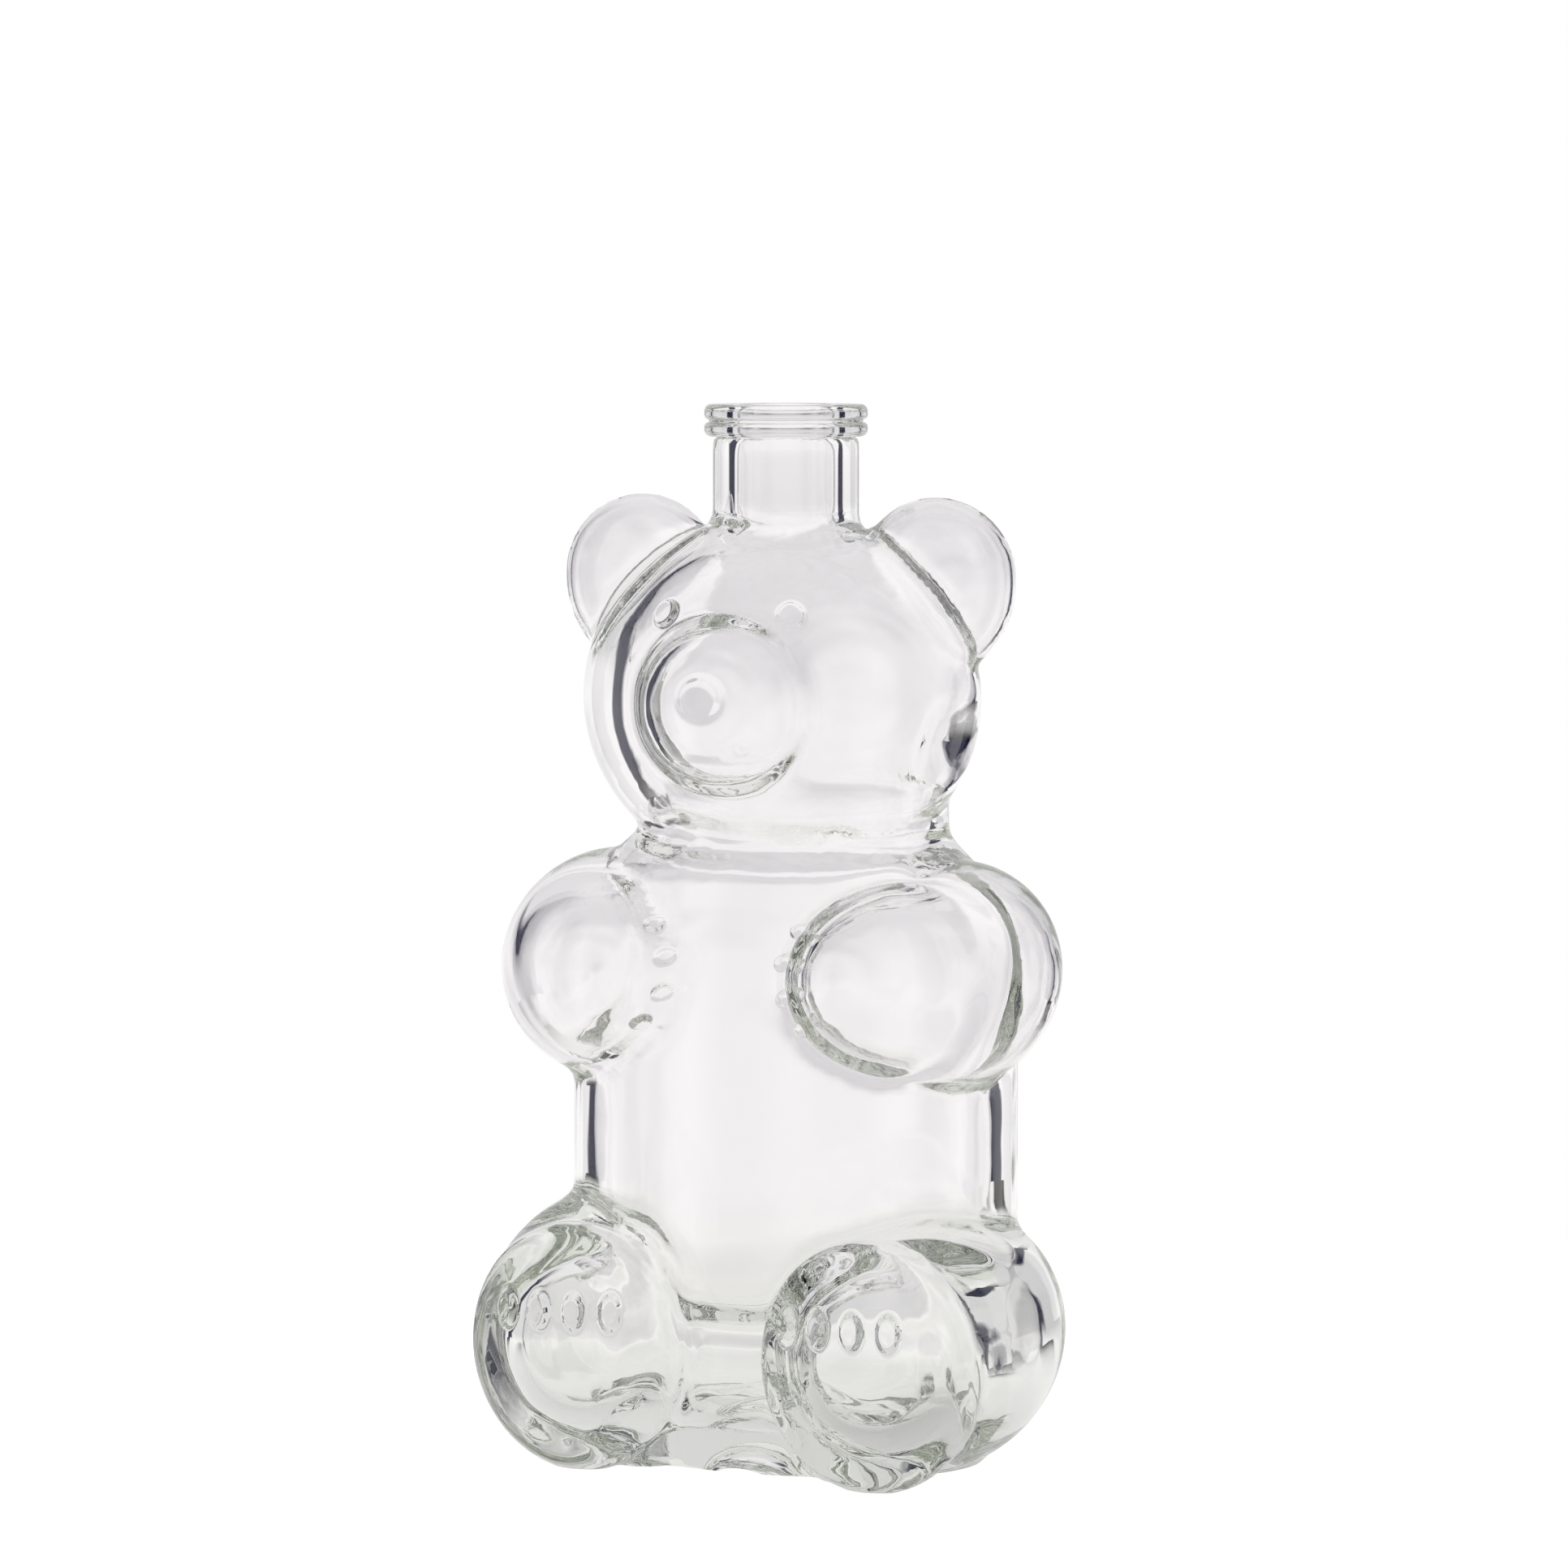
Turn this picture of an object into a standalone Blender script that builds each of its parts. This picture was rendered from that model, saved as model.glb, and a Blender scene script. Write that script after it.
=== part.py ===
"""Bear-shaped glass bottle, in metres, +Z up.

The bear faces -Y and stands on z = 0, with the bore of its neck on the Z axis.
The real bottle is one piece of blown glass, and so is this one: a form of rounded lobes
and a turned neck, less the hollow inside it.
"""

import math

import bmesh
import bpy
from mathutils import Matrix, Vector

MM = 0.001

# Neck and mouth: a straight neck under a lip of two beads
MOUTH_HEIGHT = 189.5 * MM
MOUTH_EDGE = 0.9 * MM
BORE_RADIUS = 8.75 * MM
NECK_RADIUS = 13.1 * MM
NECK_ROOT_GAP = 0.4 * MM
BEAD_RADIUS = 14.6 * MM
BEAD_GROOVE = 0.5 * MM
LIP_BEAD_HEIGHT = 3.0 * MM
LOWER_BEAD_HEIGHT = 2.8 * MM

# Head
HEAD_HEIGHT = 137.0 * MM
HEAD_FORWARD = 2.0 * MM
HEAD_HALF_WIDTH = 37.2 * MM
HEAD_HALF_DEPTH = 27.0 * MM
HEAD_RISE = 33.3 * MM
HEAD_DROP = 32.5 * MM

# Ears, from the head's centre
EAR_OUT = 28.9 * MM
EAR_BACK = 3.0 * MM
EAR_UP = 21.7 * MM
EAR_HALF_WIDTH = 15.1 * MM
EAR_HALF_DEPTH = 8.5 * MM
EAR_RISE = 14.6 * MM
EAR_DROP = 17.5 * MM

# Muzzle, nose and eyes, from the head's centre
MUZZLE_FORWARD = 21.0 * MM
MUZZLE_HALF_WIDTH = 17.2 * MM
MUZZLE_HALF_DEPTH = 12.8 * MM
MUZZLE_HALF_HEIGHT = 15.6 * MM
NOSE_HALF_WIDTH = 6.0 * MM
NOSE_HALF_HEIGHT = 5.6 * MM
NOSE_RELIEF = 1.8 * MM
EYE_OUT = 12.1 * MM
EYE_UP = 15.8 * MM
EYE_HALF_WIDTH = 2.0 * MM
EYE_HALF_HEIGHT = 2.8 * MM

# Trunk, turned and then flattened from front to back
COLLAR_HALF_WIDTH = 29.0 * MM
SHOULDER_TOP = 109.5 * MM
SHOULDER_BASE = 86.0 * MM
TRUNK_SETBACK = 3.6 * MM
TRUNK_HALF_WIDTH = 41.9 * MM
TRUNK_HALF_DEPTH = 29.6 * MM
BELLY_HEIGHT = 24.8 * MM
BELLY_EDGE = 4.0 * MM

# Seat under the belly: its back is flush with the trunk's, and its front steps in between the feet
SEAT_STEP = 2.4 * MM
SEAT_HALF_WIDTH = 40.5 * MM
HEEL_HEIGHT = 14.0 * MM
HEEL_INSET = 10.5 * MM
HEEL_SINK = 2.0 * MM

# Shoulder lobe that rounds the collar into the arms
SHOULDER_HEIGHT = 105.0 * MM
SHOULDER_SETBACK = 2.4 * MM
SHOULDER_HALF_WIDTH = 34.5 * MM
SHOULDER_HALF_DEPTH = 24.6 * MM
SHOULDER_RISE = 14.0 * MM
SHOULDER_DROP = 30.0 * MM

# Arms: a round upper arm at each side and a forearm that turns in over the belly
ARM_HEIGHT = 88.8 * MM
UPPER_ARM_OUT = 32.6 * MM
UPPER_ARM_FORWARD = 3.3 * MM
UPPER_ARM_HALF_WIDTH = 21.4 * MM
UPPER_ARM_HALF_DEPTH = 18.5 * MM
UPPER_ARM_RISE = 20.4 * MM
UPPER_ARM_DROP = 20.4 * MM
UPPER_ARM_LEAN_SHARE = 0.17
FOREARM_OUT = 31.0 * MM
FOREARM_FORWARD = 15.3 * MM
FOREARM_HALF_LENGTH = 22.3 * MM
FOREARM_HALF_DEPTH = 14.0 * MM
FOREARM_HALF_HEIGHT = 17.6 * MM
FOREARM_TURN = math.radians(38.0)
CLAW_COUNT = 4
CLAW_SPREAD = math.radians(19.5)
CLAW_TURN = math.radians(-13.0)
CLAW_HALF_LENGTH = 2.2 * MM
CLAW_HALF_HEIGHT = 1.7 * MM

# Legs: a stout leg along the floor at each side, with a broad foot at its front
LEG_OUT = 31.3 * MM
LEG_FORWARD = 5.0 * MM
LEG_HEIGHT = 24.5 * MM
LEG_HALF_WIDTH = 20.0 * MM
LEG_HALF_DEPTH = 30.0 * MM
LEG_RISE = 23.8 * MM
LEG_DROP = 23.9 * MM
FOOT_OUT = 28.5 * MM
FOOT_FORWARD = 26.2 * MM
FOOT_HEIGHT = 21.5 * MM
FOOT_HALF_WIDTH = 19.8 * MM
FOOT_HALF_DEPTH = 11.7 * MM
FOOT_RISE = 23.0 * MM
FOOT_DROP = 22.3 * MM
FOOT_LEAN_SHARE = -0.1
WEB_OUT = 20.0 * MM
WEB_FORWARD = 12.0 * MM
WEB_HEIGHT = 6.0 * MM
WEB_HALF_WIDTH = 10.0 * MM
WEB_HALF_DEPTH = 15.0 * MM
WEB_HALF_HEIGHT = 8.0 * MM
TOE_COUNT = 4
TOE_MIDDLE_OUT = 27.0 * MM
TOE_HEIGHT = 29.8 * MM
TOE_SPACING = 6.6 * MM
TOE_HALF_WIDTH = 1.9 * MM
TOE_HALF_HEIGHT = 3.6 * MM

# Outlines: a power of 2 is an ellipse, and a higher one is squarer
ELLIPSE_POWER = 2.0
LEG_POWER = 2.7
ARM_POWER = 2.2
MUZZLE_POWER = 2.4
FOOT_POWER = 2.6
LEG_HOLLOW_POWER = 3.0

# Glass thickness, with the glass gathered round the head, the seat and the floor
HEAD_WALL = 4.6 * MM
MUZZLE_WALL = 2.0 * MM
EAR_WALL = 2.0 * MM
SHOULDER_WALL = 3.5 * MM
TRUNK_WALL = 3.6 * MM
UPPER_ARM_WALL = 3.0 * MM
FOREARM_WALL = 3.6 * MM
SEAT_WALL = 6.3 * MM
FLOOR_THICKNESS = 7.0 * MM
FLOOR_DOME = 7.5 * MM

# Hollow of a leg: rounder and shorter than the leg, in thick glass
LEG_HOLLOW_OUT = 28.4 * MM
LEG_HOLLOW_FORWARD = 7.0 * MM
LEG_HOLLOW_HEIGHT = 23.0 * MM
LEG_HOLLOW_HALF_WIDTH = 15.4 * MM
LEG_HOLLOW_HALF_DEPTH = 24.6 * MM
LEG_HOLLOW_HALF_HEIGHT = 16.0 * MM

# Grain of the surface, and how it is softened and thinned out
GRAIN = 1.2 * MM
MERGE_DISTANCE = 0.01 * MM
OVERRUN = 4.0 * MM
OUTSIDE_SOFTENING_COUNT = 6
HOLLOW_SOFTENING_COUNT = 16
OUTSIDE_KEPT_SHARE = 0.044
HOLLOW_KEPT_SHARE = 0.036
LOBE_SEGMENTS = 64
TURNED_SEGMENTS = 48
RELIEF_SEGMENTS = 10
SHARP_ANGLE = math.radians(40.0)


def remove_all_objects():
    for existing in list(bpy.data.objects):
        bpy.data.objects.remove(existing, do_unlink=True)


def new_collection(name):
    collection = bpy.data.collections.new(name)
    bpy.context.scene.collection.children.link(collection)
    return collection


def clear_glass():
    """Colourless glass with the faint green of its thick places."""
    material = bpy.data.materials.new("clear_glass")
    material.use_nodes = True
    shader = material.node_tree.nodes["Principled BSDF"]
    shader.inputs["Base Color"].default_value = (0.93, 0.95, 0.94, 1.0)
    shader.inputs["Roughness"].default_value = 0.02
    shader.inputs["Metallic"].default_value = 0.0
    return material


def add_object(name, mesh, collection):
    thing = bpy.data.objects.new(name, mesh)
    collection.objects.link(thing)
    return thing


def add_cutter(name, mesh, collection):
    cutter = add_object(name, mesh, collection)
    cutter.hide_render = True
    cutter.display_type = "WIRE"
    return cutter


def shade_rounds(mesh):
    """Shade the round faces smooth and keep the sharp edges between them."""
    mesh.shade_smooth()
    mesh.set_sharp_from_angle(angle=SHARP_ANGLE)


def mesh_from(name, form):
    mesh = bpy.data.meshes.new(name)
    form.to_mesh(mesh)
    form.free()
    shade_rounds(mesh)
    return mesh


def arc(centre, radii, start, end, count):
    """Points (radius, height) along an elliptical arc, from one angle to the other in degrees."""
    points = []
    for index in range(count + 1):
        angle = math.radians(start + (end - start) * index / count)
        points.append((centre[0] + radii[0] * math.cos(angle), centre[1] + radii[1] * math.sin(angle)))
    return points


def turned_mesh(name, profile):
    """A closed mesh from a profile of (radius, height) that runs down its outer side."""
    mesh = bpy.data.meshes.new(name)
    points = [(radius, 0.0, height) for radius, height in profile]
    edges = [(index, index + 1) for index in range(len(points) - 1)]
    mesh.from_pydata(points, edges, [])
    blank = bpy.data.objects.new(name, mesh)
    bpy.context.scene.collection.objects.link(blank)
    screw = blank.modifiers.new("turn", "SCREW")
    screw.steps = TURNED_SEGMENTS
    screw.render_steps = TURNED_SEGMENTS
    screw.use_merge_vertices = True
    screw.merge_threshold = MERGE_DISTANCE
    turned = bpy.data.meshes.new_from_object(blank.evaluated_get(bpy.context.evaluated_depsgraph_get()))
    bpy.data.objects.remove(blank, do_unlink=True)
    shade_rounds(turned)
    return turned


class Lobe:
    """An ellipsoid whose upper and lower halves have their own heights.

    A power above 2 makes it squarer: in plan, or from front to back for a disc. The lean share is
    how far its top leads back for its height.
    """

    def __init__(
        self,
        centre,
        half_width,
        half_depth,
        rise,
        drop,
        power=ELLIPSE_POWER,
        disc=False,
        turn=0.0,
        lean_share=0.0,
    ):
        self.centre = Vector(centre)
        self.half_width = half_width
        self.half_depth = half_depth
        self.rise = rise
        self.drop = drop
        self.power = power
        self.disc = disc
        self.turn = turn
        self.lean_share = lean_share

    def drawn_in(self, wall):
        """The same lobe of the hollow, a wall smaller all round."""
        return Lobe(
            self.centre,
            self.half_width - wall,
            self.half_depth - wall,
            self.rise - wall,
            self.drop - wall,
            self.power,
            self.disc,
            self.turn,
            self.lean_share,
        )

    def place(self, unit):
        """The point of the lobe that a point of the unit sphere goes to."""
        stretch = 1.0
        lift = 1.0
        if self.disc:
            around = math.hypot(unit.x, unit.z)
            stretch = (around**self.power + abs(unit.y) ** self.power) ** (-1.0 / self.power)
            lift = stretch
        elif unit.xy.length > 0.0:
            flat = unit.xy.normalized()
            stretch = (abs(flat.x) ** self.power + abs(flat.y) ** self.power) ** (-1.0 / self.power)
        width = stretch * self.half_width
        depth = stretch * self.half_depth
        height = lift * (self.rise if unit.z > 0.0 else self.drop)
        local = Vector((unit.x * width, unit.y * depth, unit.z * height))
        local.rotate(Matrix.Rotation(self.turn, 3, "Z"))
        local.y += self.lean_share * local.z
        return self.centre + local

    def add_to(self, form, segments):
        made = bmesh.ops.create_uvsphere(form, u_segments=segments, v_segments=segments // 2, radius=1.0)
        for vert in made["verts"]:
            vert.co = self.place(vert.co.copy())

    def front_at(self, out, up):
        """The point of the front this far out and up from the centre, on a lobe that isn't turned."""
        level = up / (self.rise if up > 0.0 else self.drop)
        across = out / self.half_width
        if self.disc:
            depth = 1.0 - math.hypot(across, level) ** self.power
        else:
            depth = (1.0 - level**2) ** (self.power / 2) - abs(across) ** self.power
        forward = self.half_depth * depth ** (1.0 / self.power) - self.lean_share * up
        return self.centre + Vector((out, -forward, up))


def head_lobes():
    head = Lobe(
        (0.0, -HEAD_FORWARD, HEAD_HEIGHT),
        HEAD_HALF_WIDTH,
        HEAD_HALF_DEPTH,
        HEAD_RISE,
        HEAD_DROP,
    )
    muzzle = Lobe(
        head.centre + Vector((0.0, -MUZZLE_FORWARD, 0.0)),
        MUZZLE_HALF_WIDTH,
        MUZZLE_HALF_DEPTH,
        MUZZLE_HALF_HEIGHT,
        MUZZLE_HALF_HEIGHT,
        power=MUZZLE_POWER,
        disc=True,
    )
    return head, muzzle


def ear_lobe(side):
    return Lobe(
        (side * EAR_OUT, EAR_BACK - HEAD_FORWARD, HEAD_HEIGHT + EAR_UP),
        EAR_HALF_WIDTH,
        EAR_HALF_DEPTH,
        EAR_RISE,
        EAR_DROP,
    )


def shoulder_lobe():
    return Lobe(
        (0.0, SHOULDER_SETBACK, SHOULDER_HEIGHT),
        SHOULDER_HALF_WIDTH,
        SHOULDER_HALF_DEPTH,
        SHOULDER_RISE,
        SHOULDER_DROP,
    )


def upper_arm_lobe(side):
    return Lobe(
        (side * UPPER_ARM_OUT, -UPPER_ARM_FORWARD, ARM_HEIGHT),
        UPPER_ARM_HALF_WIDTH,
        UPPER_ARM_HALF_DEPTH,
        UPPER_ARM_RISE,
        UPPER_ARM_DROP,
        lean_share=UPPER_ARM_LEAN_SHARE,
    )


def forearm_lobe(side):
    return Lobe(
        (side * FOREARM_OUT, -FOREARM_FORWARD, ARM_HEIGHT),
        FOREARM_HALF_LENGTH,
        FOREARM_HALF_DEPTH,
        FOREARM_HALF_HEIGHT,
        FOREARM_HALF_HEIGHT,
        power=ARM_POWER,
        turn=side * FOREARM_TURN,
    )


def leg_lobe(side):
    return Lobe(
        (side * LEG_OUT, -LEG_FORWARD, LEG_HEIGHT),
        LEG_HALF_WIDTH,
        LEG_HALF_DEPTH,
        LEG_RISE,
        LEG_DROP,
        power=LEG_POWER,
    )


def foot_lobe(side):
    return Lobe(
        (side * FOOT_OUT, -FOOT_FORWARD, FOOT_HEIGHT),
        FOOT_HALF_WIDTH,
        FOOT_HALF_DEPTH,
        FOOT_RISE,
        FOOT_DROP,
        power=FOOT_POWER,
        disc=True,
        lean_share=FOOT_LEAN_SHARE,
    )


def web_lobe(side):
    """The low swelling that joins a leg to the seat."""
    return Lobe(
        (side * WEB_OUT, -WEB_FORWARD, WEB_HEIGHT),
        WEB_HALF_WIDTH,
        WEB_HALF_DEPTH,
        WEB_HALF_HEIGHT,
        WEB_HALF_HEIGHT,
    )


def leg_hollow_lobe(side):
    return Lobe(
        (side * LEG_HOLLOW_OUT, -LEG_HOLLOW_FORWARD, LEG_HOLLOW_HEIGHT),
        LEG_HOLLOW_HALF_WIDTH,
        LEG_HOLLOW_HALF_DEPTH,
        LEG_HOLLOW_HALF_HEIGHT,
        LEG_HOLLOW_HALF_HEIGHT,
        power=LEG_HOLLOW_POWER,
        disc=True,
    )


def trunk_profile(wall):
    """Half widths down the side of the trunk, or of its hollow, to the underside of the belly."""
    collar = COLLAR_HALF_WIDTH - wall
    side = TRUNK_HALF_WIDTH - wall
    belly = BELLY_HEIGHT + wall
    profile = [(0.0, HEAD_HEIGHT), (collar, HEAD_HEIGHT - HEAD_DROP / 2)]
    profile += arc((collar, SHOULDER_BASE), (side - collar, SHOULDER_TOP - SHOULDER_BASE), 90.0, 0.0, 8)
    profile += arc((side - BELLY_EDGE, belly + BELLY_EDGE), (BELLY_EDGE, BELLY_EDGE), 0.0, -90.0, 4)
    profile.append((0.0, belly))
    return profile


def seat_profile(wall, floor, dome):
    """Half widths down the side of the seat, or of its hollow, round the heel to the middle of its floor."""
    seat = SEAT_HALF_WIDTH - wall
    top = BELLY_HEIGHT + 2 * BELLY_EDGE
    profile = [(0.0, top), (seat, top)]
    profile += arc((seat - HEEL_INSET, HEEL_HEIGHT), (HEEL_INSET, HEEL_HEIGHT - floor), 0.0, -90.0, 6)
    profile.append((0.0, floor + dome))
    return profile


def add_flattened(form, profile, half_width, half_depth, setback):
    """A turned form, flattened from front to back and set back from the neck's axis."""
    turned = turned_mesh("turned", profile)
    flattening = Matrix.Diagonal((1.0, half_depth / half_width, 1.0, 1.0))
    turned.transform(Matrix.Translation((0.0, setback, 0.0)) @ flattening)
    form.from_mesh(turned)
    bpy.data.meshes.remove(turned)


def add_trunk(form, wall, seat_wall, floor, dome):
    """The trunk, and the seat that is drawn in under the front of its belly."""
    half_width = TRUNK_HALF_WIDTH - wall
    add_flattened(form, trunk_profile(wall), half_width, TRUNK_HALF_DEPTH - wall, TRUNK_SETBACK)
    seat_half_width = SEAT_HALF_WIDTH - seat_wall
    seat_half_depth = TRUNK_HALF_DEPTH - SEAT_STEP / 2 - seat_wall
    seat_setback = TRUNK_SETBACK + SEAT_STEP / 2
    add_flattened(form, seat_profile(seat_wall, floor, dome), seat_half_width, seat_half_depth, seat_setback)


def add_neck_root(form, radius):
    """A stub of the neck for the head to be softened into. The turned neck or bore swallows its top."""
    top = HEAD_HEIGHT + HEAD_RISE + NECK_RADIUS / 2
    turned = turned_mesh("neck_root", [(0.0, top), (radius, top), (radius, HEAD_HEIGHT), (0.0, HEAD_HEIGHT)])
    form.from_mesh(turned)
    bpy.data.meshes.remove(turned)


def outside_form():
    form = bmesh.new()
    add_trunk(form, 0.0, 0.0, -HEEL_SINK, 0.0)
    add_neck_root(form, NECK_RADIUS - NECK_ROOT_GAP)
    lobes = [*head_lobes(), shoulder_lobe()]
    for side in (-1.0, 1.0):
        lobes += [ear_lobe(side), upper_arm_lobe(side), forearm_lobe(side)]
        lobes += [leg_lobe(side), foot_lobe(side), web_lobe(side)]
    for lobe in lobes:
        lobe.add_to(form, LOBE_SEGMENTS)
    return mesh_from("glass_bottle", form)


def hollow_form():
    form = bmesh.new()
    add_trunk(form, TRUNK_WALL, SEAT_WALL, FLOOR_THICKNESS, FLOOR_DOME)
    add_neck_root(form, BORE_RADIUS - NECK_ROOT_GAP)
    head, muzzle = head_lobes()
    lobes = [head.drawn_in(HEAD_WALL), muzzle.drawn_in(MUZZLE_WALL), shoulder_lobe().drawn_in(SHOULDER_WALL)]
    for side in (-1.0, 1.0):
        lobes.append(ear_lobe(side).drawn_in(EAR_WALL))
        lobes.append(upper_arm_lobe(side).drawn_in(UPPER_ARM_WALL))
        lobes.append(forearm_lobe(side).drawn_in(FOREARM_WALL))
        lobes.append(leg_hollow_lobe(side))
    for lobe in lobes:
        lobe.add_to(form, LOBE_SEGMENTS)
    return mesh_from("hollow", form)


def soften(thing, passes, kept_share):
    """Fuse the lobes into one skin, soften its creases, thin out its faces and make its halves alike."""
    fuse = thing.modifiers.new("fuse", "REMESH")
    fuse.mode = "VOXEL"
    fuse.voxel_size = GRAIN
    fuse.use_smooth_shade = True
    smooth = thing.modifiers.new("soften", "SMOOTH")
    smooth.factor = 0.5
    smooth.iterations = passes
    thin = thing.modifiers.new("thin", "DECIMATE")
    thin.ratio = kept_share
    halves = thing.modifiers.new("halves", "MIRROR")
    halves.use_axis = (True, False, False)
    halves.use_bisect_axis = (True, False, False)
    halves.merge_threshold = MERGE_DISTANCE


def relief_form():
    """Nose, eyes, claws and toes: small rounded swellings on the skin, none touching another."""
    form = bmesh.new()
    head, muzzle = head_lobes()
    tip = muzzle.front_at(0.0, 0.0)
    swellings = [Lobe(tip, NOSE_HALF_WIDTH, NOSE_RELIEF, NOSE_HALF_HEIGHT, NOSE_HALF_HEIGHT)]
    for side in (-1.0, 1.0):
        eye = head.front_at(side * EYE_OUT, EYE_UP)
        swellings.append(Lobe(eye, EYE_HALF_WIDTH, EYE_HALF_WIDTH, EYE_HALF_HEIGHT, EYE_HALF_HEIGHT))
        foot = foot_lobe(side)
        for index in range(TOE_COUNT):
            out = TOE_MIDDLE_OUT + (index - (TOE_COUNT - 1) / 2) * TOE_SPACING
            toe = foot.front_at(side * out - foot.centre.x, TOE_HEIGHT - foot.centre.z)
            swellings.append(Lobe(toe, TOE_HALF_WIDTH, TOE_HALF_WIDTH, TOE_HALF_HEIGHT, TOE_HALF_HEIGHT))
        forearm = forearm_lobe(side)
        for index in range(CLAW_COUNT):
            lift = (index - (CLAW_COUNT - 1) / 2) * CLAW_SPREAD
            level = math.cos(lift)
            inward = -side * level * math.cos(CLAW_TURN)
            claw = forearm.place(Vector((inward, -level * math.sin(CLAW_TURN), math.sin(lift))))
            swellings.append(Lobe(claw, CLAW_HALF_LENGTH, CLAW_HALF_LENGTH, CLAW_HALF_HEIGHT, CLAW_HALF_HEIGHT))
    for swelling in swellings:
        swelling.add_to(form, RELIEF_SEGMENTS)
    return mesh_from("relief", form)


def neck_form():
    """Turned neck from inside the head up to the lip, with its two beads."""
    groove = MOUTH_HEIGHT - LIP_BEAD_HEIGHT
    under = groove - LOWER_BEAD_HEIGHT
    foot = HEAD_HEIGHT + HEAD_RISE / 2
    edge = (MOUTH_EDGE, MOUTH_EDGE)
    profile = [(0.0, MOUTH_HEIGHT)]
    profile += arc((BEAD_RADIUS - MOUTH_EDGE, MOUTH_HEIGHT - MOUTH_EDGE), edge, 90.0, 0.0, 3)
    profile.append((BEAD_RADIUS, groove + BEAD_GROOVE))
    profile.append((BEAD_RADIUS - BEAD_GROOVE, groove))
    profile.append((BEAD_RADIUS, groove - BEAD_GROOVE))
    profile += arc((BEAD_RADIUS - MOUTH_EDGE, under + MOUTH_EDGE), edge, 0.0, -90.0, 3)
    profile += [(NECK_RADIUS, under), (NECK_RADIUS, foot), (0.0, foot)]
    return turned_mesh("neck", profile)


def bore_form():
    """Turned cutter for the bore, with the rounded inner edge of the mouth."""
    top = MOUTH_HEIGHT + OVERRUN
    bottom = HEAD_HEIGHT + HEAD_RISE / 2
    mouth = BORE_RADIUS + MOUTH_EDGE
    profile = [(0.0, top), (mouth, top)]
    profile += arc((mouth, MOUTH_HEIGHT - MOUTH_EDGE), (MOUTH_EDGE, MOUTH_EDGE), 90.0, 180.0, 3)
    profile += [(BORE_RADIUS, bottom), (0.0, bottom)]
    return turned_mesh("bore", profile)


def ground_form():
    """A block with its top on the floor, wider than the bottle, that cuts its base flat."""
    form = bmesh.new()
    bmesh.ops.create_cube(form, size=2 * MOUTH_HEIGHT, matrix=Matrix.Translation((0.0, 0.0, -MOUTH_HEIGHT)))
    return mesh_from("ground", form)


def add_boolean(thing, other, operation):
    boolean = thing.modifiers.new(other.name, "BOOLEAN")
    boolean.operation = operation
    boolean.solver = "EXACT"
    boolean.object = other


def main():
    remove_all_objects()
    bottle = new_collection("bear_glass_bottle")
    cutters = new_collection("cutters")

    glass = add_object("glass_bottle", outside_form(), bottle)
    glass.data.materials.append(clear_glass())
    soften(glass, OUTSIDE_SOFTENING_COUNT, OUTSIDE_KEPT_SHARE)
    hollow = add_cutter("hollow", hollow_form(), cutters)
    soften(hollow, HOLLOW_SOFTENING_COUNT, HOLLOW_KEPT_SHARE)

    add_boolean(glass, add_cutter("relief", relief_form(), cutters), "UNION")
    add_boolean(glass, add_cutter("neck", neck_form(), cutters), "UNION")
    add_boolean(glass, add_cutter("ground", ground_form(), cutters), "DIFFERENCE")
    add_boolean(glass, hollow, "DIFFERENCE")
    add_boolean(glass, add_cutter("bore", bore_form(), cutters), "DIFFERENCE")


main()
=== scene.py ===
# %% [markdown]
# # A bear-shaped glass bottle
# The real object is one piece of clear blown glass: a sitting bear with an open neck on its head.
# It has no stopper, and nothing on it moves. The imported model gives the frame: its place, its size
# and the one body that everything rides on. This lesson makes the fine glass that stands for the
# plain faceted solid, and a small photo studio to look at it in.

# %% Load the frame
import math

import bmesh
import bpy
from mathutils import Matrix, Vector


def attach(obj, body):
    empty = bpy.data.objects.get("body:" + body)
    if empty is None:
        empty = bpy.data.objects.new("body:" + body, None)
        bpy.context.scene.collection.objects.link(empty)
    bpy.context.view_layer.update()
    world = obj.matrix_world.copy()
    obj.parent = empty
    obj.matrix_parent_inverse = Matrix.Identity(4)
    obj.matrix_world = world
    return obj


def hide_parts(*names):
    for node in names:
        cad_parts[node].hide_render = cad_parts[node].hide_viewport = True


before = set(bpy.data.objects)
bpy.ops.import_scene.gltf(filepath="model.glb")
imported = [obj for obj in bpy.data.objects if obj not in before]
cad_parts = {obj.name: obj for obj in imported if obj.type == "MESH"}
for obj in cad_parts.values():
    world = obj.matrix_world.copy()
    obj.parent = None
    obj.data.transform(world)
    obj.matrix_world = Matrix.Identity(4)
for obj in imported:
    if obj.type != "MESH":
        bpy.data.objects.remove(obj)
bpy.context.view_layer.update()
MM = 0.001

# %% [markdown]
# ## The lobes of the bear
# The bear is made of rounded lobes that flow into each other, as in the mould it was blown in. Each
# lobe is an ellipsoid whose upper and lower halves have their own heights. A power above 2 makes it
# squarer: in plan on a leg, and from front to back on a disc such as the sole of a foot. All sizes
# here are millimetres, and the side lobes are given for the bear's left and mirrored for its right.
# Lean is how far forward or back a lobe moves for each millimetre up, and turn is in degrees.

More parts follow.
